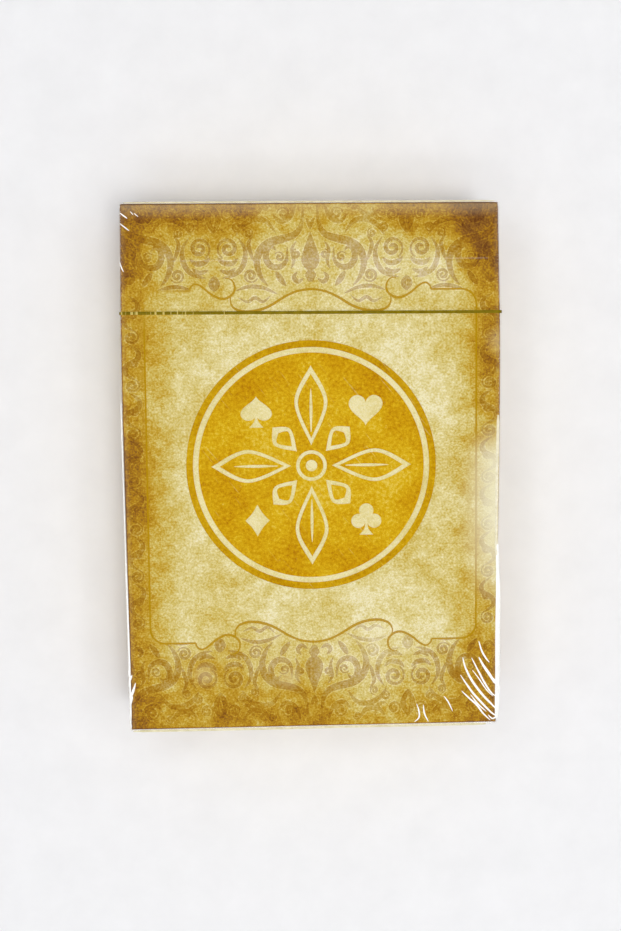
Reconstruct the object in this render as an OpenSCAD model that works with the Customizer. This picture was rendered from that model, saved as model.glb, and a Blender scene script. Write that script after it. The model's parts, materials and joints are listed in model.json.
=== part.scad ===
// A sealed deck of playing cards: the cards, their tuck carton, and its clear film with a tear tape.
// X runs across the front face, Y towards the lid and Z out of the front face.
// The wrapped deck lies on its back, with the film on z = 0 and the origin under its middle.

/* [Cards] */
// Width of a card
card_w = 63.5; // [56:0.5:72]
// Height of a card
card_h = 88.9; // [80:0.1:100]
// Thickness of a card
card_t = 0.29; // [0.25:0.01:0.33]
// Corner radius of a card
card_r = 3.5; // [2:0.5:6]
// Air between two cards
card_gap = 0.01; // [0.005:0.005:0.03]

/* [Carton] */
// Thickness of the board
board_t = 0.4; // [0.3:0.05:0.5]
// Gap in a crease, and in a glued joint
board_gap = 0.02; // [0.01:0.01:0.05]
// Inset of a free edge from the panel that it meets
free_inset = 0.2; // [0.1:0.05:0.4]
// Play beside the cards
side_play = 0.15; // [0.1:0.05:0.6]
// Gap between the cards and the front panel
front_gap = 0.2; // [0.1:0.05:0.5]
// Gap between the cards and the bottom flaps
bottom_gap = 0.2; // [0.1:0.05:0.6]
// Room above the cards, up to the dust flaps
head_room = 1; // [0.6:0.1:2]
// Radius of the thumb notch
notch_r = 9; // [6:0.5:11]
// Width of the glue flap
glue_flap_w = 13; // [8:0.5:15]
// How far the glue flap's ends slant
glue_flap_slant = 3; // [1:0.5:6]
// Length of the bottom dust flaps
bottom_flap_len = 16; // [10:0.5:20]
// How far the bottom dust flaps draw in on each edge
bottom_flap_taper = 1.5; // [0.5:0.25:3]

/* [Tuck lid] */
// Gap between the cards and the tongue
tongue_gap = 0.3; // [0.25:0.05:0.6]
// Slot between the tongue and the back panel
tongue_slot = 1.4; // [1.2:0.1:2]
// Length of the tongue
tongue_len = 11; // [8:0.5:11.5]
// Radius of the tongue's corners
tongue_r = 6; // [3:0.5:7]
// Inset of the tongue's sides from the lid's
tongue_inset = 0.8; // [0.3:0.1:2]
// Gap between the lid and the dust flaps
flap_gap = 0.1; // [0.1:0.05:0.3]
// Length of the dust flaps
flap_len = 15; // [10:0.5:16]
// How far the dust flaps draw in on their front edge
flap_taper = 3.75; // [3:0.25:5]
// Corner cut from the dust flaps' rear edge
flap_cut = 4; // [2:0.5:6]
// Gap between the dust flaps and the tongue
flap_clear = 2.1; // [2:0.1:4]

/* [Film] */
// Thickness of the film
film_t = 0.1; // [0.06:0.01:0.12]
// Gap between the film and the carton
film_gap = 0.15; // [0.1:0.01:0.3]
// Gap in a fold, and between two folded layers
fold_gap = 0.02; // [0.01:0.01:0.04]
// Depth of the flaps folded over each end
end_flap = 11.5; // [11:0.5:14]
// Width of the tear tape
tape_w = 0.62; // [0.5:0.01:2.5]
// Height of the tear tape's middle below the carton's top
tape_drop = 19; // [14:0.5:30]
// How far the tear tape stands in from the film
tape_step = 0.05; // [0.02:0.01:0.08]
// Gap at the tear line, on each edge of the tape
tear_gap = 0.02; // [0.01:0.01:0.05]

/* [Hidden] */
$fn = 64;

SUITS = ["spades", "diamonds", "clubs", "hearts"];
PIPS = ["ace", "two", "three", "four", "five", "six", "seven", "eight", "nine", "ten"];
COURTS = 3;
JOKERS = 2;

PRINT = [0.79, 0.71, 0.47];
PLAIN_BOARD = [0.88, 0.86, 0.80];
CARD_STOCK = [0.95, 0.94, 0.90];
FILM = [0.92, 0.94, 0.95, 0.3];
TAPE = [0.42, 0.36, 0.16];

function pip_node(pip, suit) = str(pip, "_of_", suit);
function court_node(suit) = str("court_cards_of_", suit);

// The stack of cards
suit_count = len(PIPS) + COURTS;
card_count = len(SUITS) * suit_count + JOKERS;
card_pitch = card_t + card_gap;
stack_t = card_count * card_pitch - card_gap;

// The closed carton, from the stack outwards
layer = board_t + board_gap;
wall_room = layer + board_t + side_play;
bottom_t = 2 * layer + board_t;
top_t = board_t + flap_gap + board_t;
carton_w = card_w + 2 * wall_room;
carton_h = bottom_t + bottom_gap + card_h + head_room + top_t;
carton_d = board_t + front_gap + stack_t + tongue_gap + board_t + tongue_slot + board_t;
lid_len = carton_d - board_t - tongue_slot;
lid_w = carton_w - 2 * free_inset;

// Levels along Z and Y
back_z = film_t + film_gap;
front_z = back_z + carton_d;
top_y = carton_h / 2;
bottom_y = -top_y;
flap_y = top_y - board_t - flap_gap;
inner_bottom_y = bottom_y + layer;
side_y = inner_bottom_y + layer;
cards_y = bottom_y + bottom_t + bottom_gap;
cards_z = front_z - board_t - front_gap;

// The wrap, from the carton outwards
film_w = carton_w + 2 * (film_gap + film_t);
film_d = carton_d + 2 * (film_gap + film_t);
film_layer = film_t + fold_gap;
tuck_y = top_y + film_gap + film_t;
back_flap_y = tuck_y + film_layer;
front_flap_y = back_flap_y + film_layer;
tape_y = top_y - tape_drop;
tear_offset = tape_w / 2 + tear_gap;
tape_t = film_t + tape_step;

// Side view of a sheet of length l, outer face on y = 0, cut at 45 degrees where an end is folded
function sheet_section(l, t, gap, low, high) = [
    [low ? gap : 0, 0],
    [high ? l - gap : l, 0],
    [high ? l - gap - t : l, -t],
    [low ? gap + t : 0, -t]
];

// A flat sheet with the child as its outline, outer face on z = 0, mitred along its folded edges
module folded_sheet(w, h, t, gap, left = false, right = false, bottom = false, top = false) {
    intersection() {
        translate([0, 0, -t]) linear_extrude(t) children();
        translate([0, h, 0]) rotate([90, 0, 0]) linear_extrude(h)
            polygon(sheet_section(w, t, gap, left, right));
        rotate([90, 0, 90]) linear_extrude(w)
            polygon(sheet_section(h, t, gap, bottom, top));
    }
}

// A rectangle whose far corners, at y = h, are rounded
module round_ended(w, h, r) {
    square([w, h - r]);
    translate([r, 0]) square([w - 2 * r, h]);
    for (x = [r, w - r]) translate([x, h - r]) circle(r);
}

// A rectangle with four round corners
module round_cornered(w, h, r) {
    translate([r, 0]) square([w - 2 * r, h]);
    translate([0, r]) square([w, h - 2 * r]);
    for (x = [r, w - r]) for (y = [r, h - r]) translate([x, y]) circle(r);
}

module card(place) {
    color(CARD_STOCK)
        translate([-card_w / 2, cards_y, cards_z - place * card_pitch - card_t])
            linear_extrude(card_t) round_cornered(card_w, card_h, card_r);
}

module front_panel() {
    color(PRINT) translate([-carton_w / 2, bottom_y, front_z])
        folded_sheet(carton_w, carton_h, board_t, board_gap, true, true, true, true)
            square([carton_w, carton_h]);
}

// The back panel's free top edge is level with the lid, and has the thumb notch in its middle
module back_panel() {
    h = top_y - inner_bottom_y;
    color(PRINT) translate([carton_w / 2, inner_bottom_y, back_z]) rotate([0, 180, 0])
        folded_sheet(carton_w, h, board_t, board_gap, left = true, right = true, bottom = true)
            difference() {
                square([carton_w, h]);
                translate([carton_w / 2, h]) circle(notch_r);
            }
}

module side_panel() {
    h = flap_y - side_y;
    color(PRINT) translate([-carton_w / 2, side_y, back_z]) rotate([0, -90, 0])
        folded_sheet(carton_d, h, board_t, board_gap, true, true, true, true)
            square([carton_d, h]);
}

module left_side_panel() side_panel();

module right_side_panel() mirror([1, 0, 0]) side_panel();

// Glued inside the left side panel, and folded from the back panel
module glue_flap() {
    y = side_y + layer;
    h = flap_y - board_t - flap_gap - y;
    color(PLAIN_BOARD) translate([-carton_w / 2 + layer, y, back_z + layer]) rotate([0, -90, 0])
        translate([0, 0, -board_t]) linear_extrude(board_t)
            polygon([
                [0, 0],
                [glue_flap_w, glue_flap_slant],
                [glue_flap_w, h - glue_flap_slant],
                [0, h]
            ]);
}

module bottom_outer_panel() {
    color(PRINT) translate([-carton_w / 2, bottom_y, back_z]) rotate([90, 0, 0])
        folded_sheet(carton_w, carton_d, board_t, board_gap, top = true)
            square([carton_w, carton_d]);
}

// Folded from the back panel, and glued under the outer panel
module bottom_inner_panel() {
    w = carton_w - 2 * free_inset;
    h = carton_d - layer;
    color(PLAIN_BOARD) translate([-w / 2, inner_bottom_y, back_z]) rotate([90, 0, 0])
        folded_sheet(w, h, board_t, board_gap, bottom = true) square([w, h]);
}

module bottom_dust_flap() {
    h = carton_d - 2 * layer;
    translate([-carton_w / 2, side_y, back_z + layer]) rotate([90, 0, 0])
        folded_sheet(bottom_flap_len, h, board_t, board_gap, left = true)
            polygon([
                [0, 0],
                [bottom_flap_len, bottom_flap_taper],
                [bottom_flap_len, h - bottom_flap_taper],
                [0, h]
            ]);
}

module bottom_dust_flaps() {
    color(PLAIN_BOARD) {
        bottom_dust_flap();
        mirror([1, 0, 0]) bottom_dust_flap();
    }
}

// Hinged on the front panel's top edge
module lid_panel() {
    color(PRINT) translate([-lid_w / 2, top_y, front_z]) rotate([-90, 0, 0])
        folded_sheet(lid_w, lid_len, board_t, board_gap, bottom = true, top = true)
            square([lid_w, lid_len]);
}

// Folded down from the lid's free edge, between the cards and the back panel
module tuck_tongue() {
    w = lid_w - 2 * tongue_inset;
    color(PRINT) translate([-w / 2, top_y, front_z - lid_len]) rotate([180, 0, 0])
        folded_sheet(w, tongue_len, board_t, board_gap, bottom = true)
            round_ended(w, tongue_len, tongue_r);
}

// Folded in from a side panel's top edge, under the lid
module dust_flap() {
    near = board_t + free_inset;
    far = lid_len - board_t - flap_clear;
    color(PRINT) translate([-carton_w / 2, flap_y, front_z]) rotate([-90, 0, 0])
        folded_sheet(flap_len, far, board_t, board_gap, left = true)
            polygon([
                [0, near],
                [flap_len, near + flap_taper],
                [flap_len, far - flap_cut],
                [flap_len - flap_cut, far],
                [0, far]
            ]);
}

module dust_flap_left() dust_flap();

module dust_flap_right() mirror([1, 0, 0]) dust_flap();

// A flap of film folded over the end from a wide wall, with its ends drawn in at 45 degrees
module end_fold() {
    folded_sheet(film_w, end_flap, film_t, fold_gap, bottom = true)
        polygon([
            [0, 0],
            [film_w, 0],
            [film_w - end_flap, end_flap],
            [end_flap, end_flap]
        ]);
}

// The narrow wall of the film at -X, with the tuck folded in from its end
module film_side(rim_y) {
    wall_h = tuck_y - rim_y;
    tuck_d = film_d - 2 * film_layer;
    translate([-film_w / 2, rim_y, 0]) rotate([0, -90, 0])
        folded_sheet(film_d, wall_h, film_t, fold_gap, true, true, top = true)
            square([film_d, wall_h]);
    translate([-film_w / 2, tuck_y, film_d - film_layer]) rotate([-90, 0, 0])
        folded_sheet(end_flap, tuck_d, film_t, fold_gap, left = true)
            square([end_flap, tuck_d]);
}

// Four walls of film from the tear line to an end at +Y, which is folded like an envelope
module film_cup(rim_y) {
    front_h = front_flap_y - rim_y;
    back_h = back_flap_y - rim_y;
    color(FILM) {
        translate([-film_w / 2, rim_y, film_d])
            folded_sheet(film_w, front_h, film_t, fold_gap, true, true, top = true)
                square([film_w, front_h]);
        translate([film_w / 2, rim_y, 0]) rotate([0, 180, 0])
            folded_sheet(film_w, back_h, film_t, fold_gap, true, true, top = true)
                square([film_w, back_h]);
        film_side(rim_y);
        mirror([1, 0, 0]) film_side(rim_y);
        translate([-film_w / 2, front_flap_y, film_d]) rotate([-90, 0, 0]) end_fold();
        translate([film_w / 2, back_flap_y, 0]) rotate([-90, 180, 0]) end_fold();
    }
}

module wrap_cap() film_cup(tape_y + tear_offset);

module wrap_sleeve() mirror([0, 1, 0]) film_cup(tear_offset - tape_y);

module tape_strip(l) {
    folded_sheet(l, tape_w, tape_t, fold_gap, left = true, right = true) square([l, tape_w]);
}

module tear_tape() {
    y = tape_y - tape_w / 2;
    color(TAPE) {
        translate([-film_w / 2, y, film_d]) tape_strip(film_w);
        translate([film_w / 2, y, 0]) rotate([0, 180, 0]) tape_strip(film_w);
        translate([-film_w / 2, y, 0]) rotate([0, -90, 0]) tape_strip(film_d);
        translate([film_w / 2, y, film_d]) rotate([0, 90, 0]) tape_strip(film_d);
    }
}

front_panel();
back_panel();
left_side_panel();
right_side_panel();
glue_flap();
bottom_outer_panel();
bottom_inner_panel();
bottom_dust_flaps();
lid_panel();
tuck_tongue();
dust_flap_left();
dust_flap_right();
wrap_sleeve();
wrap_cap();
tear_tape();

// The cards, from the front face down: each suit from its ace to its king, and then the jokers
for (s = [0 : len(SUITS) - 1]) {
    first = s * suit_count;
    for (p = [0 : len(PIPS) - 1])
        card(first + p);
    for (c = [0 : COURTS - 1]) card(first + len(PIPS) + c);
}
for (j = [0 : JOKERS - 1]) card(len(SUITS) * suit_count + j);  // jokers
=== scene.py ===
"""Looks of a sealed deck of cards: a printed tuck carton, in clear film with a tear tape."""
import json
import math

import bmesh
import bpy
import numpy as np
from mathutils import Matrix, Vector
from mathutils.geometry import delaunay_2d_cdt


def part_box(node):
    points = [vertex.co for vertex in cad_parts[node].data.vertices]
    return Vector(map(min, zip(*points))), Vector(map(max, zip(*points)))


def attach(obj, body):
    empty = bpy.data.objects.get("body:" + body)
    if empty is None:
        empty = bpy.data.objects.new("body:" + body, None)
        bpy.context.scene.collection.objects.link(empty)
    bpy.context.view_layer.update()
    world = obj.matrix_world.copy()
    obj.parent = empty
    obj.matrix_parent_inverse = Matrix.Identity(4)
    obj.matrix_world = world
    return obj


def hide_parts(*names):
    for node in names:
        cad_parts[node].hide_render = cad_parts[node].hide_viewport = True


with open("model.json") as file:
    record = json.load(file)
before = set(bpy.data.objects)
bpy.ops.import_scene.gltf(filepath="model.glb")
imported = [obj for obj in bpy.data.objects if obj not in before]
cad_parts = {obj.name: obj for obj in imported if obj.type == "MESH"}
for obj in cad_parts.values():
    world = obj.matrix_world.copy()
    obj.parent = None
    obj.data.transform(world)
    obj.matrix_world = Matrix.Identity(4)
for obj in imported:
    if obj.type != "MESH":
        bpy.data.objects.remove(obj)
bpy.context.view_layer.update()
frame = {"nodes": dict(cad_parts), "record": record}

MM = 0.001


def add_object(name, data):
    """Puts a mesh, light or camera into the scene."""
    piece = bpy.data.objects.new(name, data)
    bpy.context.collection.objects.link(piece)
    return piece


# Camera: its place off the middle of the front face, in mm, and its turns in degrees

CAMERA_FROM_FACE = Vector((-11.22, 24.0, 245.1))
CAMERA_TURN = (-5.452, -2.596, -0.557)
CAMERA_CLIP = 0.01
PHOTO_HEIGHT_PX = 931
FOCAL_PX = 1400
SENSOR_MM = 24


def add_camera():
    """The photograph's view, set from the middle of the front face."""
    low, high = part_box("front_panel")
    lens = bpy.data.cameras.new("camera")
    lens.sensor_fit = "VERTICAL"
    lens.sensor_height = SENSOR_MM
    lens.lens = FOCAL_PX * SENSOR_MM / PHOTO_HEIGHT_PX
    lens.clip_start = CAMERA_CLIP
    camera = add_object("camera", lens)
    camera.location = Vector((0, (low.y + high.y) / 2, high.z)) + CAMERA_FROM_FACE * MM
    camera.rotation_euler = [math.radians(turn) for turn in CAMERA_TURN]
    bpy.context.scene.camera = camera


# Flat curves, in mm: a shape is a closed list of points, and a path is an open one

SWELL = 0.7


def spline(points, steps=7):
    """A smooth path through the points."""
    knots = np.array([points[0], *points, points[-1]], float)
    share = np.linspace(0, 1, steps, endpoint=False)[:, None]
    path = []
    for a, b, c, d in zip(knots, knots[1:], knots[2:], knots[3:]):
        path.append(b + share * (c - a) / 2 + share**2 * (a - 2.5 * b + 2 * c - d / 2)
                    + share**3 * (1.5 * (b - c) + (d - a) / 2))
    return np.vstack(path + [knots[-1:]])


def arc(centre, radius, start, end, steps=24):
    """A path along a circle, between two angles in degrees."""
    angles = np.radians(np.linspace(start, end, steps))
    return np.array(centre) + radius * np.c_[np.cos(angles), np.sin(angles)]


def spiral(centre, radius, start, turns, inner=0.12, steps=22):
    """A path that winds in from the radius to a share of it. Negative turns go clockwise."""
    count = math.ceil(abs(turns) * steps)
    share = np.linspace(0, 1, count)
    angles = math.radians(start) + share * turns * 2 * math.pi
    radii = radius * (1 - share * (1 - inner))
    return np.array(centre) + radii[:, None] * np.c_[np.cos(angles), np.sin(angles)]


def across(path):
    """The direction to the left of a path, at each of its points."""
    along = np.gradient(path, axis=0)
    return np.c_[-along[:, 1], along[:, 0]] / np.linalg.norm(along, axis=1)[:, None]


def ribbon(path, width, ends):
    """The outline of a stroke along a path. Each end narrows to a share of the width."""
    share = np.linspace(0, 1, len(path))
    swell = np.sin(np.pi * share) ** SWELL
    half = width / 2 * np.maximum(swell, np.where(share < 0.5, ends[0], ends[1]))
    aside = across(path) * half[:, None]
    return np.vstack([path - aside, (path + aside)[::-1]])


def strokes(marks, extra=0.0):
    """Outlines of marks, each a width, its shares at the ends and a path, all that much wider."""
    return [ribbon(path, width + extra, ends) for width, ends, path in marks]


def both_halves(right):
    """A shape from its right half."""
    return np.vstack([right, right[::-1] * (-1, 1)])


def four_quarters(quarter):
    """A shape from its upper right quarter."""
    return np.vstack([quarter, quarter[::-1] * (-1, 1), quarter * (-1, -1), quarter[::-1] * (1, -1)])


def mirrored(shapes, axis=0, at=0.0):
    """The shapes, and their mirror images in a line across that axis."""
    flipped = np.arange(2) == axis
    return shapes + [shape * np.where(flipped, -1, 1) + np.where(flipped, 2 * at, 0) for shape in shapes]


def moved(shapes, x=0.0, y=0.0, turn=0.0, size=1.0):
    """The shapes at another size, turned by degrees, and then moved."""
    c, s = math.cos(math.radians(turn)), math.sin(math.radians(turn))
    return [size * shape @ np.array([[c, s], [-s, c]]) + np.array([x, y]) for shape in shapes]


def row_of(shapes, count, pitch, x=0.0, y=0.0):
    """The shapes at a place, and that many times above and below it."""
    return [shape for i in range(-count, count + 1) for shape in moved(shapes, x, i * pitch + y)]


# Bow of the carton's long sides and bottom end, in mm

BOW_LEFT, BOW_RIGHT = 0.38, 0.55
BOW_LOW, BOW_PEAK, BOW_HIGH = -40.0, 18.0, 56.0
BOW_FROM, BOW_FULL = 29.3, 32.2
BOW_STEPS = 24
BOTTOM_BOW = 0.30
BOTTOM_BOW_FROM, BOTTOM_BOW_FULL = -43.0, -45.5


def smooth(share):
    """An even rise from 0 to 1 that starts and ends level."""
    share = np.clip(share, 0, 1)
    return share * share * (3 - 2 * share)


def bow(x, y):
    """How far a place is moved along x, because the long sides bow out."""
    along = smooth((y - BOW_LOW) / (BOW_PEAK - BOW_LOW)) * smooth((BOW_HIGH - y) / (BOW_HIGH - BOW_PEAK))
    near = np.clip((np.abs(x) - BOW_FROM) / (BOW_FULL - BOW_FROM), 0, 1)
    return np.where(x < 0, -BOW_LEFT, BOW_RIGHT) * along * near


def bottom_bow(y):
    """How far a place is moved along y, because the bottom end bows out."""
    return -BOTTOM_BOW * np.clip((y - BOTTOM_BOW_FROM) / (BOTTOM_BOW_FULL - BOTTOM_BOW_FROM), 0, 1)


# Ornament of the wide faces, in mm from their middle

LINE_W = 0.33
HEAVY_LINE_W = LINE_W * 1.3
ARCH_W = 0.50
# Shares of its width that a stroke keeps at its start and its end
EVEN, HOOKED, ARCHED, VEINED = (1, 1), (0.75, 0.4), (0.45, 0.8), (0.3, 0.1)
TAPERED, POINTED, CURLED, CURLED_FINE = (0.2, 0.2), (0.12, 0.12), (0.5, 0.9), (0.4, 0.9)
# How far the lower halves of frame and damask lie above mirror images of the upper ones
FRAME_BOTTOM_Y = 0.22
DAMASK_BOTTOM_Y = 0.9

FRAME_X = 29.0
FRAME_Y = 31.15
FRAME_R = 2.7
FRAME_SIDE_STEPS = 6
HOOK = [(21, 31.15), (20.85, 31.75), (20.1, 32.3), (19, 31.9), (17.4, 30.6), (15.8, 29.8), (14.5, 29.9),
        (13.4, 30.8), (13.2, 31.9), (13.6, 32.8), (14.2, 33.2), (14.9, 33.2)]
# The hook's point at which the edge of the field goes over to the arch
HOOK_CROSSING = 6
ARCH = [(13.95, 30.1), (14, 29.3), (13.7, 28.5), (13, 27.9), (11.5, 27.5), (9.3, 27.7), (7.1, 28.5),
        (4.6, 30), (2.6, 30.9), (0.8, 31.25), (0, 31.3)]

# How much wider the strokes are than listed, and the paler edge under them
DAMASK_WIDER = 0.15
DAMASK_EDGE = 0.26
DAMASK_AXIS = 16.75
# Width and path of each stroke
DAMASK_STROKES = [
    (1.3, [(1.2, 46.2), (1.5, 42.6), (2.6, 40.8), (4.7, 40), (7, 39.4), (8.7, 38), (9.3, 35.8),
           (8.6, 33.4), (7.4, 31.9)]),
    (1, [(4, 38.6), (4.2, 36.3), (5.3, 35.2), (6.8, 35.3), (7.7, 36.6), (7.5, 38.1), (6.6, 38.6),
         (5.9, 37.9)]),
    (0.9, [(6, 34.4), (5.3, 33.2), (4.3, 31.9)]),
    (0.8, [(12.5, 40.2), (11.4, 38.4), (11.4, 36.4), (12.2, 34.7), (13.6, 33.7), (15.4, 33.3)]),
    (0.8, [(12.6, 36.7), (13.6, 35.8), (15.2, 36), (16.1, 36.9)]),
    (0.7, [(13, 35), (14.2, 34.2), (15.8, 34.7)]),
    (0.9, [(6, 41), (7.6, 43), (9.8, 43.3), (11.8, 42.2), (12.9, 40.6)]),
    (0.8, [(8, 45.9), (9.2, 44.4), (11.2, 44.2), (12.6, 45.4)]),
    (0.9, [(16.75, 45.6), (15.9, 43.4), (16.75, 40.9)]),
    (0.8, [(2.4, 46.2), (3.4, 43.8), (5.2, 43), (6.4, 44.2)]),
    (0.6, [(5.8, 30.5), (8.3, 31.6), (10.8, 31.8), (13, 31.1)]),
    (0.5, [(7, 30.2), (8.3, 29.2), (9.7, 29.9), (11, 29.2), (12.6, 29.9)]),
    (0.7, [(1.2, 33.2), (2.2, 32.6), (2.9, 33.4), (2.3, 34.3)]),
    (0.8, [(16.75, 33.6), (16.2, 32.3), (16.75, 31)]),
    (0.6, [(10.8, 45.5), (11.5, 43.6), (12.9, 43.3)]),
    (0.6, [(9.9, 40.6), (10.7, 39.2), (10.3, 37.4), (9.9, 36.2)]),
    (0.5, [(2.4, 39.6), (3.2, 38.2), (2.9, 36.2), (3.4, 34.8)]),
    (0.5, [(0.6, 43.6), (0.25, 42.6), (0, 41.6)]),
]
# Width, middle, radius, first angle and turns of each volute
DAMASK_VOLUTES = [
    (0.42, (10.4, 33.7), 1.25, 200, 1.7),
    (0.62, (14.3, 38.4), 1.9, -60, 1.6),
    (0.45, (14.3, 44.2), 1.15, 60, -1.5),
    (0.4, (12.7, 42), 0.85, 240, 1.4),
    (0.45, (4.6, 44.4), 1.1, 0, 1.5),
    (0.4, (2.5, 37.4), 0.8, 90, -1.4),
    (0.36, (10.7, 41), 0.8, 90, 1.4),
    (0.34, (7.6, 45.4), 0.7, 180, -1.3),
    (0.36, (5.4, 36.9), 0.9, 30, 1.3),
]
SPEAR = [(0, 41.2), (0.55, 39.6), (1.35, 37.4), (1.5, 36.1), (0.95, 35), (0.45, 34.6), (0.9, 33.8),
         (0.35, 32.6)]

COLUMN_X = 31.0
COLUMN_PITCH = 8.4
COLUMN_START = -2
COLUMN_MARKS = [
    (0.45, CURLED_FINE, spiral((0, 0), 1.15, 120, 1.6)),
    (0.80, TAPERED, spline([(-0.6, 1.0), (0.9, 2.0), (0.9, 3.4), (-0.8, 4.6), (-0.9, 6.0), (0.5, 7.2)])),
    (0.40, CURLED_FINE, spiral((-0.2, 4.0), 0.8, 0, -1.3)),
]

ROUNDEL_AT = (-0.16, 0.46)
ROUNDEL_R = 22.0
ROUNDEL_RING_R = 20.8
ROUNDEL_DISC_R = 19.85
ROSETTE_LINE = 0.55
# Inner end, outer end, half width and turn of each petal, and how far in its hollow is, per line width
PETALS = [(3.6, 17.6, 2.9, 0), (3.6, 9.6, 2.0, 45)]
PETAL_HOLLOW = (2.2, -2.6, -1.1)
PETAL_BELLY = 0.6
VEIN_W = 0.5
VEIN = np.array([(0, y) for y in np.linspace(6.0, 13.6, 8)])
EYE = [("cream", 2.7), ("gold", 2.1), ("cream", 1.0)]
PIP_R = 13.6
PIP_SIZE = 5.6


def frame_corner():
    """The frame's corner, from its upright side to the hook."""
    return arc((FRAME_X - FRAME_R, FRAME_Y - FRAME_R), FRAME_R, 0, 90)


def frame_inside():
    """The plain field inside the frame's line."""
    hook = np.array(HOOK[:HOOK_CROSSING + 1])
    upper = both_halves(np.vstack([frame_corner(), spline(hook), spline(ARCH)[:-1]]))
    return np.vstack([upper, upper * (-1, -1) + (0, FRAME_BOTTOM_Y)])


def frame_lines():
    """The frame's line: its sides, corners, hooks and arches."""
    side = np.array([(FRAME_X, y) for y in np.linspace(0, FRAME_Y - FRAME_R, FRAME_SIDE_STEPS)])
    top = np.vstack([side[:-1], frame_corner(), np.array(HOOK[:1])])
    marks = [(LINE_W, EVEN, top), (HEAVY_LINE_W, HOOKED, spline(HOOK)), (ARCH_W, ARCHED, spline(ARCH))]
    return mirrored(mirrored(strokes(marks)), axis=1, at=FRAME_BOTTOM_Y / 2)


def damask_band(extra):
    """Scrolls above the frame, mirrored in the middle and in each half, and that much wider."""
    marks = [(width, POINTED, spline(points)) for width, points in DAMASK_STROKES]
    marks += [(width, CURLED, spiral(*volute)) for width, *volute in DAMASK_VOLUTES]
    spear = spline(SPEAR) + (extra / 2, 0)
    return mirrored(mirrored(strokes(marks, extra) + [both_halves(spear)], at=DAMASK_AXIS))


def damask_columns(extra):
    """Volutes up each side, joined by S-shaped strokes, and that much wider."""
    unit, count = strokes(COLUMN_MARKS, extra), int(FRAME_Y / COLUMN_PITCH)
    return mirrored(row_of(unit, count, COLUMN_PITCH, COLUMN_X, COLUMN_START))


def suit_signs():
    """The four suit signs, each one unit high, by the angle at which they stand."""
    a = np.linspace(0, 2 * math.pi, 48, endpoint=False)
    x = 16 * np.sin(a) ** 3
    y = 13 * np.cos(a) - 5 * np.cos(2 * a) - 2 * np.cos(3 * a) - np.cos(4 * a)
    heart = np.c_[x, y + 2.5] / 30
    stem = both_halves(spline([(0.03, 0.0), (0.06, -0.3), (0.22, -0.5)], 5))
    leaves = [arc(at, 0.225, 0, 352, 30) for at in ((0, 0.27), (-0.25, -0.06), (0.25, -0.06))]
    hub = arc((0, 0.05), 0.12, 0, 345, 16)
    diamond = four_quarters(spline([(0.38, 0), (0.17, 0.22), (0, 0.5)], 6))
    spade = heart * (0.92, -0.8) + (0, 0.1)
    return {135: [spade, stem], 45: [heart], -45: leaves + [hub, stem], -135: [diamond]}


def petal(inner, outer, half_width):
    """A pointed petal along +Y."""
    widest = (half_width, (inner + outer) / 2 + PETAL_BELLY)
    return both_halves(spline([(0, inner), widest, (0, outer)], 10))


def roundel():
    """Inks and shapes of a round field with an eight-petalled rosette and the four suits."""
    shapes = []
    for ink, radius in (("ring", ROUNDEL_R), ("cream", ROUNDEL_RING_R), ("gold", ROUNDEL_DISC_R)):
        shapes.append((ink, arc((0, 0), radius, 0, 358, 180)))
    for turn in range(0, 360, 90):
        for *sizes, extra in PETALS:
            for ink, inset in (("cream", 0), ("gold", ROSETTE_LINE)):
                leaf = petal(*[size + inset * share for size, share in zip(sizes, PETAL_HOLLOW)])
                shapes.append((ink, moved([leaf], turn=turn + extra)[0]))
        shapes.append(("cream", moved([ribbon(VEIN, VEIN_W, VEINED)], turn=turn)[0]))
    for ink, radius in EYE:
        shapes.append((ink, arc((0, 0), radius, 0, 354, 48)))
    for angle, sign in suit_signs().items():
        at = PIP_R * math.cos(math.radians(angle)), PIP_R * math.sin(math.radians(angle))
        shapes += [("cream", shape) for shape in moved(sign, *at, size=PIP_SIZE)]
    return [(ink, moved([shape], *ROUNDEL_AT)[0]) for ink, shape in shapes]


def wide_face_print():
    """Inks and shapes of the front and back faces, in the order in which they are laid down."""
    shapes = []
    for ink, extra in (("damask_edge", DAMASK_WIDER + DAMASK_EDGE), ("damask", DAMASK_WIDER)):
        band = damask_band(extra)
        below = [shape * (1, -1) + (0, DAMASK_BOTTOM_Y) for shape in band]
        shapes += [(ink, shape) for shape in damask_columns(extra) + band + below]
    shapes.append(("field", frame_inside()))
    shapes += [("line", shape) for shape in frame_lines()]
    return shapes + roundel()


NARROW_INSET = 2.2
NARROW_R = 2.0
NARROW_PITCH = 12
NARROW_END = 6
NARROW_MARKS = [
    (0.7, CURLED_FINE, spiral((0, 1.5), 2.1, 150, 1.7)),
    (0.9, TAPERED, spline([(1.9, 2.0), (3.9, 0.6), (4.0, -2.0), (1.6, -3.2)])),
]


def narrow_face_print(panel):
    """Inks and shapes of a narrow face: a lined field with a row of volutes along it."""
    w, h = panel.half_w - NARROW_INSET, panel.half_h - NARROW_INSET
    corner = arc((w - NARROW_R, h - NARROW_R), NARROW_R, 0, 90, 12)
    line = ribbon(np.vstack([four_quarters(corner), corner[:1]]), HEAVY_LINE_W, EVEN)
    unit = mirrored(mirrored(strokes(NARROW_MARKS), axis=1))
    count = int((max(w, h) - NARROW_END) / NARROW_PITCH)
    row = row_of(unit, count, NARROW_PITCH)
    if w > h:
        row = moved(row, turn=90)
    return [("damask", shape) for shape in row] + [("line", line)]


# Node materials

WHITE = (1, 1, 1, 1)
NOISE_MEAN = 0.5


def srgb(red, green, blue):
    """A colour of 0 to 255 as shown on a screen, as the linear colour that shaders take."""
    shown = [channel / 255 for channel in (red, green, blue)]
    return (*[c / 12.92 if c <= 0.04045 else ((c + 0.055) / 1.055) ** 2.4 for c in shown], 1.0)


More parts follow.
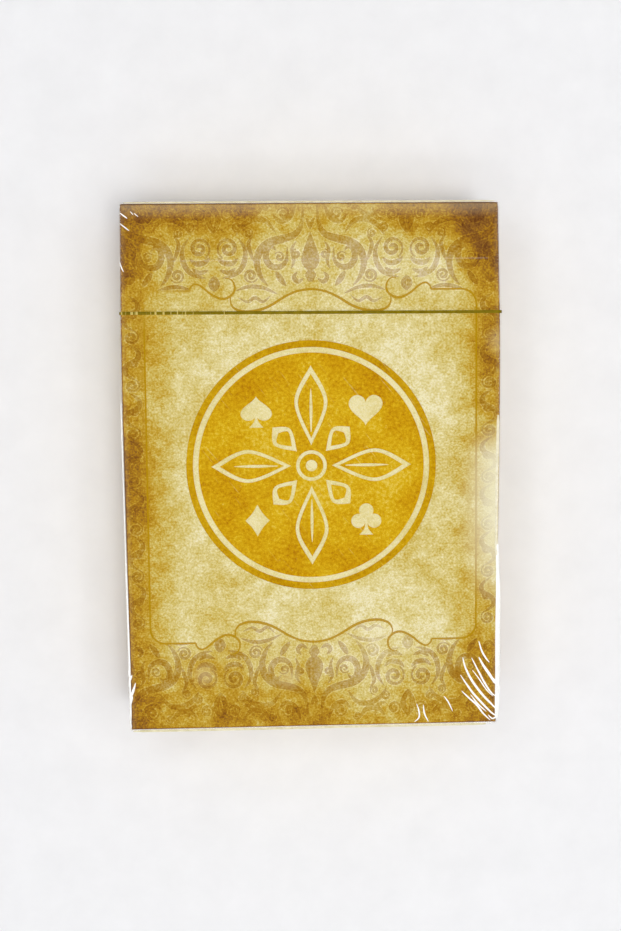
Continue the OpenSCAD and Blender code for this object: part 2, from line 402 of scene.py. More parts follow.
class Nodes:
    """A node tree, put together by short calls that take and return sockets."""

    def __init__(self, tree):
        self.tree = tree

    def add(self, kind, inputs=(), **settings):
        node = self.tree.nodes.new(kind)
        for name, value in settings.items():
            setattr(node, name, value)
        for key, value in dict(inputs).items():
            self.put(node.inputs[key], value)
        return node

    def put(self, socket, value):
        if isinstance(value, bpy.types.NodeSocket):
            self.tree.links.new(value, socket)
        else:
            socket.default_value = value

    def math(self, operation, first, *others):
        for other in others:
            first = self.add("ShaderNodeMath", {0: first, 1: other}, operation=operation).outputs[0]
        return first

    def plus(self, *values):
        return self.math("ADD", *values)

    def times(self, *values):
        return self.math("MULTIPLY", *values)

    def vector(self, operation, a, b, output="Vector"):
        return self.add("ShaderNodeVectorMath", {0: a, 1: b}, operation=operation).outputs[output]

    def dot(self, a, b):
        return self.vector("DOT_PRODUCT", a, b, "Value")

    def distance(self, a, b):
        return self.vector("DISTANCE", a, b, "Value")

    def noise(self, at, scale, detail, roughness):
        inputs = {"Vector": at, "Scale": scale, "Detail": detail, "Roughness": roughness}
        return self.add("ShaderNodeTexNoise", inputs).outputs[0]

    def unrest(self, *noise):
        """Noise around zero."""
        return self.math("SUBTRACT", self.noise(*noise), NOISE_MEAN)

    def step(self, value, low, high, start=0.0, end=1.0):
        inputs = {"Value": value, "From Min": low, "From Max": high, "To Min": start, "To Max": end}
        return self.add("ShaderNodeMapRange", inputs, interpolation_type="SMOOTHSTEP").outputs[0]

    def patch(self, at, middle, radius, inside, outside=0.0):
        """A step from the middle of a round patch to its edge."""
        return self.step(self.distance(at, middle), 0.0, radius, inside, outside)

    def mix(self, share, a, b, blend="MIX"):
        inputs = {0: share, 6: a, 7: b}
        return self.add("ShaderNodeMix", inputs, data_type="RGBA", blend_type=blend).outputs[2]

    def ramp(self, value, stops):
        node = self.add("ShaderNodeValToRGB", {0: value})
        while len(node.color_ramp.elements) < len(stops):
            node.color_ramp.elements.new(0.5)
        for element, (place, colour) in zip(node.color_ramp.elements, stops):
            element.position = place
            element.color = colour
        return node.outputs[0]


class Material(Nodes):
    """A node material with one surface."""

    def __init__(self, name):
        self.material = bpy.data.materials.new(name)
        self.material.use_nodes = True
        super().__init__(self.material.node_tree)
        self.surface = self.tree.nodes["Principled BSDF"]
        self.here = self.add("ShaderNodeTexCoord").outputs["Object"]

    def set(self, **inputs):
        for name, value in inputs.items():
            self.put(self.surface.inputs[name.replace("_", " ").title().replace("Ior", "IOR")], value)

    def bump(self, height, distance):
        relief = self.add("ShaderNodeBump", {"Height": height, "Distance": distance})
        self.put(self.surface.inputs["Normal"], relief.outputs[0])


PARCHMENT = [
    (0.0, srgb(238, 229, 190)),
    (0.16, srgb(224, 210, 148)),
    (0.32, srgb(207, 184, 98)),
    (0.48, srgb(194, 157, 48)),
    (0.64, srgb(174, 127, 24)),
    (0.80, srgb(140, 94, 33)),
    (1.0, srgb(106, 64, 26)),
]
AGE = 0.36
AGE_SCALE = 0.8
SIDE_AGE, SIDE_FADE = 0.36, 11.0
TOP_AGE, TOP_FADE = 0.34, 12.0
BOTTOM_AGE, BOTTOM_FADE = 0.34, 18.0
# Painted shade along the rim of each face, where it rounds over the creases: how much darker, and the band it
# fades over
RIM_SHADE, RIM_BAND = 0.45, 0.35
# How much older the paper looks under an ink, or fresher if below zero
INK_AGE = {"field": -0.06, "line": -0.06, "cream": -0.16, "damask_edge": -0.13}
# Scale in 1/mm, octaves and amount of each kind of mottle, from clouds to grain
MOTTLES = [(0.075, 4.0, 0.80), (0.33, 4.0, 0.70), (1.1, 4.0, 0.45), (2.8, 1.5, 0.75)]
MOTTLE_ROUGHNESS = 0.6
AGED_MOTTLE = 0.45
# Place, radius and amount of each stain, on the wide faces; the strongly pale ones at x 34.5 to 35 are
# painted glare of the film
STAINS_AND_GLARE = [
    (31, 43, 14, 0.26), (-31, 40, 10, 0.16), (-14, 44, 10, 0.12), (-31, -4, 13, 0.12),
    (-17, -37, 14, 0.06), (13, -34.5, 17, -0.27), (0, 43, 16, -0.12), (0, 31, 6.5, 0.09),
    (-12, 36, 11, -0.08), (28, -37, 9, -0.08), (0, 2, 34, -0.12), (10, 36, 14, -0.1),
    (20, 14, 14, -0.08), (32, 34.5, 8.5, 0.22), (35, 1, 8, -0.6), (35, -8, 9, -0.8),
    (35, -17, 9, -0.6), (34.5, -27, 9, -0.3), (-30, -42, 10, -0.16), (-23, 28.5, 9, 0.14),
    (-32, 24, 7, -0.14), (21, 37, 11, -0.17), (-23, 44.5, 4.5, 0.12), (-11, 44, 5, 0.16),
    (-27, 41.3, 4.5, -0.12), (28, 43, 6, 0.14), (17, 44.5, 7, 0.08), (26, 45, 5, 0.12),
    (-32, 35, 6, 0.14),
]
# Place, radius and share of each patch of painted glare: a pale veil over all inks that stands in for light
# the film reflects
GLARE_PATCHES = [
    (33.5, 22, 3.6, 0.2), (33.5, 0.5, 8, 0.8), (33.5, -6, 9, 0.85), (33.5, -13, 9, 0.7),
    (33, -19, 7, 0.35), (-19.6, -36.7, 2.8, 0.2), (-4.6, -37.6, 2.8, 0.2),
]
# The pale tone that the painted glare and the paler margins are mixed towards
PALE_OVERLAY = srgb(236, 229, 196)
# How much paler the print is towards its side edges and its top, and over what band
PALER_SIDE, PALER_SIDE_BAND = 0.07, 1.2
PALER_TOP, PALER_TOP_BAND = 0.18, 3.0
# Scale in 1/mm, octaves and roughness of the noise in worn and in gritty print
WEAR = (0.9, 6, 0.7)
GRIT = (3.4, 5, 0.75)
# Names with BY are steps: from one value to another, and what they give there
DAMASK = (0.73, 0.63, 0.66, 1.0)
DAMASK_END, DAMASK_END_BAND = (0.80, 0.70, 0.52, 1.0), (3.5, 8.0)
DAMASK_BY_AGE = (0.4, 0.9, 1.0, 0.62)
DAMASK_BY_PALENESS = (0.0, 0.3, 0.1, 1.0)
DAMASK_BY_WEAR = (0.25, 0.60, 0.55, 1.0)
LINE = srgb(178, 136, 2)
LINE_BY_GRIT = (0.25, 0.6, 0.85, 1.0)
LINE_WORN_AT, LINE_WORN_R, LINE_WORN = (-28.0, 30.5), 9.0, (0.25, 0.95)
GOLD_MID = srgb(216, 175, 22)
GOLD = [(0.1, srgb(172, 110, 4)), (0.35, srgb(198, 146, 4)), (0.6, GOLD_MID), (0.9, srgb(228, 202, 92))]
RING = [(0.1, srgb(168, 112, 2)), (0.35, srgb(190, 142, 4)), (0.6, srgb(208, 165, 16)),
        (0.9, srgb(220, 190, 70))]
GOLD_TONE, GOLD_RIM = 0.52, 0.07
GOLD_MIDDLE_R = 8.0
# Scale, octaves, roughness and amount of the gold's clouds and grain
GOLD_MOTTLES = [(0.10, 4, 0.6, 1.0), (1.7, 3, 0.75, 1.25)]
GOLD_BY_WEAR = (0.62, 0.8, 0.0, 0.5)
GOLD_BY_SCRATCH = (0.66, 0.74, 0.0, 0.4)
SCRATCH = (1.0, 2, 0.5)
SCRATCH_TURN = 0.9
SCRATCH_STRETCH = (0.10, 2.2, 1.0)
CREAM = srgb(230, 215, 150)
CREAM_BY_GRIT = (0.3, 0.7, 0.3, 0.7)
CREAM_BY_WEAR = (0.60, 0.74, 0.0, 0.45)
PRINT_RELIEF = 0.00002


def weathering(mat, panel, at, u, v):
    """A panel's paper from place to place: how aged it looks, with painted shade along its rim and patches of
    painted glare; how far off its ends it is; and how much paler its margins are.
    """
    left = mat.plus(u, panel.half_w)
    right = mat.math("SUBTRACT", panel.half_w, u)
    if panel.bows:
        along = mat.times(mat.step(v, BOW_LOW, BOW_PEAK), mat.step(v, BOW_HIGH, BOW_PEAK))
        left = mat.plus(left, mat.times(along, panel.bows[0]))
        right = mat.plus(right, mat.times(along, panel.bows[1]))
    side = mat.math("MINIMUM", left, right)
    below_top = mat.math("SUBTRACT", panel.half_h, v)
    above_bottom = mat.plus(v, panel.half_h + (BOTTOM_BOW if panel.bowed else 0))
    end = mat.math("MINIMUM", below_top, above_bottom)
    rim = mat.math("MINIMUM", side, end)
    off_rim = mat.step(rim, 0.0, RIM_BAND)
    paler_side = mat.step(side, 0.0, PALER_SIDE_BAND, PALER_SIDE, 0.0)
    paler_top = mat.step(below_top, 0.0, PALER_TOP_BAND, PALER_TOP, 0.0)
    paler_margin = mat.times(mat.math("MAXIMUM", paler_side, paler_top), off_rim)

    fresh = mat.step(side, 0.0, SIDE_FADE, 1 - SIDE_AGE, 1.0)
    for off, fade, amount in ((below_top, TOP_FADE, TOP_AGE), (above_bottom, BOTTOM_FADE, BOTTOM_AGE)):
        inward = mat.step(off, 0.0, min(fade, panel.half_h), 1 - amount, 1.0)
        fresh = mat.times(fresh, inward)
    aged = mat.math("SUBTRACT", 1.0, fresh)
    # Painted shade darkens the rim
    age_and_light = mat.plus(aged, AGE, mat.step(rim, 0.0, RIM_BAND, RIM_SHADE, 0.0))
    # Stains, and along the right edge patches of painted glare
    for x, y, radius, amount in panel.stains:
        age_and_light = mat.plus(age_and_light, mat.patch(at, (x, y, panel.seed), radius, amount))
    uneven = mat.plus(1.0, mat.times(aged, AGED_MOTTLE))
    mottled = age_and_light
    for scale, octaves, amount in MOTTLES:
        mottle = mat.unrest(at, scale, octaves, MOTTLE_ROUGHNESS)
        mottled = mat.plus(mottled, mat.times(mottle, uneven, amount))
    return {"age_and_light": age_and_light, "mottled": mottled, "end": end, "off_rim": off_rim, "paler_margin": paler_margin}


def parchment(mat, panel, shift):
    """Old paper as printed on a panel: its colour, the place on the panel in mm, and the weathering there."""
    away = mat.vector("SUBTRACT", mat.here, panel.middle)
    u = mat.dot(away, panel.right / MM)
    v = mat.dot(away, panel.up / MM)
    at = mat.add("ShaderNodeCombineXYZ", {0: u, 1: v, 2: panel.seed}).outputs[0]
    weather = weathering(mat, panel, at, u, v)
    tone = mat.times(mat.plus(weather["mottled"], shift), AGE_SCALE)
    return mat.ramp(tone, PARCHMENT), at, weather


def damask_ink(mat, ground, weather, wear):
    """Thin violet ink, fainter on the oldest and the palest paper, and ochre near the ends."""
    age_and_light = weather["age_and_light"]
    share = mat.times(mat.step(age_and_light, *DAMASK_BY_AGE), mat.step(age_and_light, *DAMASK_BY_PALENESS),
                      mat.step(wear, *DAMASK_BY_WEAR))
    tint = mat.mix(mat.step(weather["end"], *DAMASK_END_BAND), DAMASK_END, DAMASK)
    return mat.mix(share, ground, tint, "MULTIPLY")


def line_ink(mat, panel, at, ground, grit):
    """Thick golden ink, worn off about one corner."""
    patches = mat.patch(at, (*LINE_WORN_AT, panel.seed), LINE_WORN_R, *LINE_WORN)
    return mat.mix(mat.times(mat.step(grit, *LINE_BY_GRIT), patches), ground, LINE)


def cream_ink(mat, ground, wear, grit):
    """Thin cream ink, with gold showing through where it is worn."""
    colour = mat.mix(mat.step(grit, *CREAM_BY_GRIT), ground, CREAM)
    return mat.mix(mat.step(wear, *CREAM_BY_WEAR), colour, GOLD_MID)


def gold_ink(mat, panel, at, ground, wear, stops):
    """Mottled gold ink, darker to its rim, with paper showing where it is scratched or worn."""
    from_middle = mat.distance(at, (*ROUNDEL_AT, panel.seed))
    tone = mat.step(from_middle, GOLD_MIDDLE_R, ROUNDEL_DISC_R, GOLD_TONE, GOLD_TONE - GOLD_RIM)
    for *noise, amount in GOLD_MOTTLES:
        tone = mat.plus(tone, mat.times(mat.unrest(at, *noise), amount))
    turned = {"Vector": at, "Angle": SCRATCH_TURN}
    slant = mat.add("ShaderNodeVectorRotate", turned, rotation_type="Z_AXIS").outputs[0]
    scratch = mat.noise(mat.vector("MULTIPLY", slant, SCRATCH_STRETCH), *SCRATCH)
    colour = mat.mix(mat.step(scratch, *GOLD_BY_SCRATCH), mat.ramp(tone, stops), ground)
    return mat.mix(mat.step(wear, *GOLD_BY_WEAR), colour, ground)


def print_material(panel, ink):
    """One ink of a panel's print, over the parchment."""
    mat = Material(f"{panel.node}_{ink}")
    ground, at, weather = parchment(mat, panel, INK_AGE.get(ink, 0.0))
    wear, grit = mat.noise(at, *WEAR), mat.noise(at, *GRIT)
    colour = ground
    if ink == "damask":
        colour = damask_ink(mat, ground, weather, wear)
    elif ink == "line":
        colour = line_ink(mat, panel, at, ground, grit)
    elif ink == "cream":
        colour = cream_ink(mat, ground, wear, grit)
    elif ink in ("gold", "ring"):
        colour = gold_ink(mat, panel, at, ground, wear, GOLD if ink == "gold" else RING)
    colour = mat.mix(weather["paler_margin"], colour, PALE_OVERLAY)
    # Painted glare of the film, over every ink but the rim
    for x, y, radius, amount in panel.glare_patches:
        share = mat.patch(at, (x, y, panel.seed), radius, amount)
        colour = mat.mix(mat.times(share, weather["off_rim"]), colour, PALE_OVERLAY)
    mat.set(base_color=colour, roughness=0.6, specular_ior_level=0.05)
    mat.bump(grit, PRINT_RELIEF)
    return mat.material


# The same for bare paper, in 1/m, and the height of its relief in metres
BOARD_FIBRE, BOARD_RELIEF = (900, 5, 0.7), 0.00003
BOARD_SPECKS, SPECKS_BY_NOISE = (2600, 2, 0.5), (0.68, 0.76, 0.0, 0.35)
CARD_FIBRE = (1500, 4, 0.6)
LINEN_SCALE, LINEN_RELIEF = 900.0, 0.00001
FIBRE_DARK, FIBRE_LIGHT = 0.3, 0.7


def board_material(name, light, dark, speck):
    """Bare paper board: fibres, and a few specks."""
    mat = Material(name)
    fibre = mat.noise(mat.here, *BOARD_FIBRE)
    colour = mat.ramp(fibre, [(FIBRE_DARK, dark), (FIBRE_LIGHT, light)])
    specks = mat.noise(mat.here, *BOARD_SPECKS)
    colour = mat.mix(mat.step(specks, *SPECKS_BY_NOISE), colour, speck)
    mat.set(base_color=colour, roughness=0.8, specular_ior_level=0.25)
    mat.bump(fibre, BOARD_RELIEF)
    return mat.material


def card_material(name, light, dark):
    """Card stock with a fine linen emboss."""
    mat = Material(name)
    fibre = mat.noise(mat.here, *CARD_FIBRE)
    colour = mat.ramp(fibre, [(FIBRE_DARK, dark), (FIBRE_LIGHT, light)])
    mat.set(base_color=colour, roughness=0.42, specular_ior_level=0.4)
    woven = {"Vector": mat.here, "Scale": LINEN_SCALE}
    linen = mat.add("ShaderNodeTexWave", woven, bands_direction="DIAGONAL").outputs["Fac"]
    mat.bump(linen, LINEN_RELIEF)
    return mat.material


FILM_ALPHA = 0.05
FILM_HAZE, FILM_ROUGHNESS_BY_HAZE = (60, 3, 0.5), (0.3, 0.7, 0.03, 0.06)
WHITE_FILM = srgb(244, 244, 240), srgb(255, 255, 253)
# Opacity, dark and light tone of film that has a colour of its own. The pale tones of the creases, edges,
# hems and sheen strip are in part painted glints and highlights
PALE_FILM_LOOKS = {
    "creased_glinting_film": (0.95, *WHITE_FILM),
    "edge_highlight_film": (0.85, *WHITE_FILM),
    "fold_highlight_film": (0.85, srgb(204, 192, 148), srgb(228, 219, 184)),
    "sheen_film": (0.85, srgb(220, 210, 172), srgb(238, 231, 206)),
    "pressed_film": (0.05, *WHITE_FILM),
}
CRUMPLE, CRUMPLE_DARK, CRUMPLE_LIGHT, CRUMPLE_RELIEF = (900, 4, 0.6), 0.3, 0.6, 0.0001


def film_material():
    """Clear film: it only mirrors a share of what is around it, and lets the rest through."""
    mat = Material("clear_film")
    haze = mat.noise(mat.here, *FILM_HAZE)
    mat.set(base_color=WHITE, metallic=1.0, alpha=FILM_ALPHA)
    mat.set(roughness=mat.step(haze, *FILM_ROUGHNESS_BY_HAZE))
    return mat.material


def pale_film_material(name, alpha, dark, light):
    """Pale film that is finely creased or crumpled; its colour is in part a painted highlight."""
    mat = Material(name)
    crumple = mat.noise(mat.here, *CRUMPLE)
    mat.set(base_color=mat.ramp(crumple, [(CRUMPLE_DARK, dark), (CRUMPLE_LIGHT, light)]))
    mat.set(roughness=0.3, alpha=alpha)
    mat.bump(crumple, CRUMPLE_RELIEF)
    return mat.material


TAPE_GRAIN = (700, 4, 0.55)
TAPE_TONES = [(0.3, srgb(104, 88, 4)), (0.7, srgb(134, 116, 14))]
TICK = srgb(214, 194, 110)
TICK_NOISE, TICK_BY_NOISE = (1.5, 1, 0.5), (0.60, 0.66, 0.0, 0.8)
MORE_TICKS_BY_X = (-33.0, 2.0, 0.10, -0.16)


def tape_material():
    """Dark gold tear tape, with pale ticks along its left half."""
    mat = Material("tear_tape")
    x = mat.dot(mat.here, (1 / MM, 0, 0))
    along = mat.add("ShaderNodeCombineXYZ", {0: x}).outputs[0]
    patches = mat.plus(mat.noise(along, *TICK_NOISE), mat.step(x, *MORE_TICKS_BY_X))
    tone = mat.ramp(mat.noise(mat.here, *TAPE_GRAIN), TAPE_TONES)
    colour = mat.mix(mat.step(patches, *TICK_BY_NOISE), tone, TICK)
    mat.set(base_color=colour, roughness=0.5, specular_ior_level=0.1)
    return mat.material


# Printed boards

ALL_ROUND = {"bottom", "right", "top", "left"}
CREASE_R = 0.22
CREASE_STEPS = 3
NOTCH_R = 9.0
NOTCH_STEPS = 40
# Corners of the print that are nearer than this, in mm, are one
SNAP = 1e-5
# Light, dark and specked tone of bare board, inside and at its cut edges
PLAIN_BOARD = srgb(226, 221, 208), srgb(202, 195, 178), srgb(150, 140, 118)
BOARD_EDGE = srgb(208, 197, 166), srgb(178, 164, 128), srgb(150, 130, 92)
# Light and dark tone of the cards, and how much darker the next tone is
STOCK_LIGHT, STOCK_DARK, STOCK_STEP = (250, 248, 240), (236, 233, 222), (6, 7, 9)
STOCK_TONES = 3


class Panel:
    """A printed board: its outer face has a right and an up, and some of its edges are creased."""

    def __init__(self, node, body, up, out, folds, seed, bowed=False, notch=0.0, stains=(), glare_patches=()):
        low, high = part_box(node)
        size = high - low
        self.node, self.body, self.folds, self.notch = node, body, folds, notch
        self.seed, self.stains, self.glare_patches = seed, stains, glare_patches
        self.up, self.out = Vector(up), Vector(out)
        self.right = self.up.cross(self.out)
        self.bowed, self.bows = bowed, ()
        if bowed and self.out.z:
            self.bows = (BOW_LEFT, BOW_RIGHT) if self.right.x > 0 else (BOW_RIGHT, BOW_LEFT)
        self.thick = abs(size.dot(self.out)) / MM
        self.half_w = abs(size.dot(self.right)) / MM / 2
        self.half_h = abs(size.dot(self.up)) / MM / 2
        self.middle = (low + high) / 2 + self.out * (self.thick * MM / 2)

    def place(self, point, depth):
        """A point of the face, that far under it, in the frame's metres."""
        spot = self.middle + (self.right * point[0] + self.up * point[1] - self.out * depth) * MM
        x, y = spot.x / MM, spot.y / MM
        return spot + Vector((bow(x, y) if self.bowed else 0, bottom_bow(y), 0)) * MM

    def rim(self, inset):
        """The face's outline with its creased edges drawn in, and the side of each stretch."""
        x0, x1 = -self.half_w + inset * ("left" in self.folds), self.half_w - inset * ("right" in self.folds)
        y0, y1 = -self.half_h + inset * ("bottom" in self.folds), self.half_h - inset * ("top" in self.folds)
        bite = arc((0, y1), self.notch, 0, -180, NOTCH_STEPS) if self.notch else np.empty((0, 2))
        steps = BOW_STEPS if self.bowed else 1
        right = np.linspace((x1, y0), (x1, y1), steps, endpoint=False)
        left = np.linspace((x0, y1), (x0, y0), steps, endpoint=False)
        points = np.vstack([[(x0, y0)], right, [(x1, y1)], bite, left])
        sides = ["bottom"] + ["right"] * steps + ["top"] * (len(bite) + 1) + ["left"] * steps
        return points, sides


def winding(points, shape):
    """How many times a shape runs round each point."""
    start, end = shape, np.roll(shape, -1, axis=0)
    x, y = points[:, :1], points[:, 1:]
    side = (end[:, 0] - start[:, 0]) * (y - start[:, 1]) - (x - start[:, 0]) * (end[:, 1] - start[:, 1])
    up = (start[:, 1] <= y) & (end[:, 1] > y) & (side > 0)
    down = (start[:, 1] > y) & (end[:, 1] <= y) & (side < 0)
    return up.sum(1) - down.sum(1)


def inked_triangles(rim, motifs):
    """Triangles that fill the rim, each with the ink of the last motif over its middle."""
    points, edges = [], []
    for shape in [rim] + [shape for _, shape in motifs]:
        first, count = len(points), len(shape)
        points += [Vector(point) for point in shape]
        edges += [(first + i, first + (i + 1) % count) for i in range(count)]
    corners, _, triangles, *_ = delaunay_2d_cdt(points, edges, [], 0, SNAP, False)
    places = np.array([corner[:] for corner in corners])
    middles = places[np.array(triangles)].mean(axis=1)
    inks = np.where(winding(middles, rim) != 0, "ground", "outside").astype(object)
    for ink, shape in motifs:
        near = np.flatnonzero(((middles >= shape.min(0)) & (middles <= shape.max(0))).all(1))
        under = near[winding(middles[near], shape) != 0]
        inks[under[inks[under] != "outside"]] = ink
    return places, [(tri, ink) for tri, ink in zip(triangles, inks) if ink != "outside"]


def on_rim(point, rim):
    """The stretch of the rim that a point lies on, and the share along it."""
    ends = np.roll(rim, -1, axis=0)
    run = ends - rim
    share = np.clip(((point - rim) * run).sum(1) / (run**2).sum(1), 0, 1)
    stretch = int(np.argmin(np.linalg.norm(rim + run * share[:, None] - point, axis=1)))
    return stretch, share[stretch]


def open_rim(mesh):
    """The corners along a mesh's open rim, in order."""
    follows = {}
    for face in mesh.faces:
        for loop in face.loops:
            if loop.edge.is_boundary:
                follows[loop.vert] = loop.link_loop_next.vert
    rim = [next(iter(follows))]
    while follows[rim[-1]] is not rim[0]:
        rim.append(follows[rim[-1]])
    return rim


def make_board(panel, motifs, plain, core):
    """A closed board, printed on its outer face, rounded at the creases and mitred behind them."""
    inks = ["ground"] + sorted({ink for ink, _ in motifs} - {"ground"})
    turns = np.radians(np.linspace(0, 45, CREASE_STEPS))
    levels = [(CREASE_R * (1 - math.sin(turn)), CREASE_R * (1 - math.cos(turn))) for turn in turns]
    levels.append((panel.thick, panel.thick))
    rims = [panel.rim(inset)[0] for inset, _ in levels]
    sides = panel.rim(0)[1]
    corners, triangles = inked_triangles(rims[0], motifs)

    mesh = bmesh.new()
    used = sorted({i for tri, _ in triangles for i in tri})
    verts = {i: mesh.verts.new(panel.place(corners[i], 0)) for i in used}
    for tri, ink in triangles:
        mesh.faces.new([verts[i] for i in tri]).material_index = inks.index(ink)
    flat = {verts[i]: np.array(corners[i]) for i in used}
    loop = open_rim(mesh)
    spots = [on_rim(flat[vert], rims[0]) for vert in loop]

    rings = [loop]
    for rim, (_, depth) in zip(rims[1:], levels[1:]):
        ends = np.roll(rim, -1, axis=0)
        ring = [rim[i] + (ends[i] - rim[i]) * share for i, share in spots]
        rings.append([mesh.verts.new(panel.place(point, depth)) for point in ring])
    for level, (upper, lower) in enumerate(zip(rings, rings[1:])):
        for k in range(len(loop)):
            nxt = (k + 1) % len(loop)
            middle = (flat[loop[k]] + flat[loop[nxt]]) / 2
            creased = sides[on_rim(middle, rims[0])[0]] in panel.folds
            printed = creased and level < CREASE_STEPS - 1
            wall = mesh.faces.new([upper[k], lower[k], lower[nxt], upper[nxt]])
            wall.material_index = 0 if printed else len(inks)
    mesh.faces.new(rings[-1][::-1]).material_index = len(inks) + 1
    bmesh.ops.triangulate(mesh, faces=[face for face in mesh.faces if len(face.verts) > 4])

    data = bpy.data.meshes.new(panel.node + "_board")
    mesh.to_mesh(data)
    mesh.free()
    for ink in inks:
        data.materials.append(print_material(panel, ink))
    data.materials.append(core)
    data.materials.append(plain)
    board = add_object(panel.node + "_board", data)
    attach(board, panel.body)
    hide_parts(panel.node)


def add_carton():
    """The printed boards, and the finish of the bare ones."""
    plain = board_material("plain_board", *PLAIN_BOARD)
    core = board_material("board_edge", *BOARD_EDGE)
    no_top = ALL_ROUND - {"top"}
    patches = {"stains": STAINS_AND_GLARE, "glare_patches": GLARE_PATCHES}
    wide = [
        Panel("front_panel", "carton", (0, 1, 0), (0, 0, 1), ALL_ROUND, 0.0, True, **patches),
        Panel("back_panel", "carton", (0, 1, 0), (0, 0, -1), no_top, 40.0, True, NOTCH_R, **patches),
    ]
    narrow = [
        Panel("left_side_panel", "carton", (0, 1, 0), (-1, 0, 0), ALL_ROUND, 80.0, True),
        Panel("right_side_panel", "carton", (0, 1, 0), (1, 0, 0), ALL_ROUND, 120.0, True),
        Panel("bottom_outer_panel", "carton", (0, 0, 1), (0, -1, 0), {"top"}, 160.0),
        Panel("lid_panel", "lid", (0, 0, -1), (0, 1, 0), {"top", "bottom"}, 200.0),
    ]
    wide_print = wide_face_print()
    for panel in wide:
        make_board(panel, wide_print, plain, core)
    for panel in narrow:
        make_board(panel, narrow_face_print(panel), plain, core)
    for node in ("glue_flap", "bottom_inner_panel", "bottom_dust_flaps", "tuck_tongue", "dust_flap_left",
                 "dust_flap_right"):
        dress(node, plain)


def dress(node, material):
    """Gives a shape that stays as it is a finish of its own."""
    materials = frame["nodes"][node].data.materials
    materials.clear()
    materials.append(material)


def add_cards():
    """Darker copies of one stock, dealt in turn, as painted shade between the cards so that the edges of the
    stack can be told apart.
    """
    tones = []
    for i in range(STOCK_TONES):
        light, dark = (srgb(*[c - i * step for c, step in zip(tone, STOCK_STEP)])
                       for tone in (STOCK_LIGHT, STOCK_DARK))
        tones.append(card_material(f"card_stock_{i}", light, dark))
    for i, node in enumerate(sorted(frame["record"]["behaviour"]["bodies"]["deck"])):
        dress(node, tones[i % len(tones)])


# Film and tear tape

FILM_T = 0.04
FILM_BEND_R = 0.5
FLAP_LEN = 11.5
FLAP_FROM, FLAP_ROW = 0.6, 1.0
FLAP_STEP = 0.12
LAP = 4.0
LAP_RAMP = 2
LAP_IN = 0.08
EDGE_STEP = 0.2
EDGE_BAND = 1.6
SIDE_STEP = 0.8
WALL_STEP = 2.0
ROW_STEP = 1.2
BEND_STEPS = 6
# Places along the film that are nearer than this, in mm, are the same
TOUCH = 1e-6

film_low, film_high = (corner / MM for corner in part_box("wrap_sleeve"))
cap_low, cap_high = (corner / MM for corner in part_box("wrap_cap"))
FILM_HALF_W = film_high.x - FILM_T / 2
FILM_FRONT = film_high.z - FILM_T / 2
FILM_BACK = film_low.z + FILM_T / 2
FILM_FLAT = FILM_HALF_W - FILM_BEND_R
FILM_BEND = FILM_BEND_R * math.pi / 2
FILM_SIDE = FILM_FRONT - FILM_BACK - 2 * FILM_BEND_R
FILM_LOOP = 2 * FILM_FLAT + 2 * FILM_BEND + FILM_SIDE
# Where the side, the second bend and the back begin, along the loop from the front's middle
SIDE_AT = FILM_FLAT + FILM_BEND
UNDER_AT = SIDE_AT + FILM_SIDE
BACK_AT = UNDER_AT + FILM_BEND

SLACK = 0.03
# Waves of the slack film: turns in radians per mm along the loop and up it, and their starts
BROAD_ALONG, BROAD_UP = 0.21, 0.13
SWAY_UP, SWAY_START = 0.17, -0.4
FINE_ALONG, FINE_UP, FINE_START, FINE_SHARE = 0.31, 0.37, 1.0, 0.6
# Side (-1 left, 1 right), width, lift, and middle and reach along y of each stretch that stands out
LOOSE_EDGES = [(1, 0.5, 0.06, -31, 13), (1, 0.13, 0.1, 27.2, 1.6), (-1, 0.25, 0.1, -14, 34)]
LOOSE_FROM = 0.3
LOOSE_SIDE = 7.0

# Width and path of each painted highlight on the sleeve's edges, along its loop and up it: pale film that
# stands in for the light its bends and loose edges reflect
EDGE_HIGHLIGHTS = [
    (0.5, [(32.62, -45.6), (32.54, -42.5), (32.52, -37), (32.5, -30), (32.52, -22), (32.56, -14)]),
    (0.3, [(-32.62, -44.5), (-32.58, -32), (-32.66, -16)]),
    (0.2, [(-32.66, -17), (-32.64, -4), (-32.72, 12)]),
]
# The same for the hems of the folds, pale as a painted highlight of the folded ends, and for a painted sheen
# strip just inside the right edge
SLEEVE_HEM = [(0.42, [(-32.3, -46.6), (-12, -46.64), (10, -46.62), (30.8, -46.64)])]
SLEEVE_SHEEN = [(0.46, [(32.36, -16), (32.28, -4), (32.36, 9)])]
CAP_HEM = [(0.24, [(-32, 46.26), (-8, 46.3), (14, 46.28), (32, 46.27)])]
# And for a faint fold across the cap's front
CAP_FOLD = [(0.22, [(-24, 36.3), (-8, 36.35), (10, 36.35), (31, 36.45)])]

# How steep the flanks of a crease are, and how fast its ends swell
RIDGE, STRIP = (0.26, 1.0), (0.0, 6.0)
CREASE_T = 0.03
RIDGE_ENDS = 0.02, 0.98
RIDGE_SWELL = 0.6
SHARP_ANGLE = 60
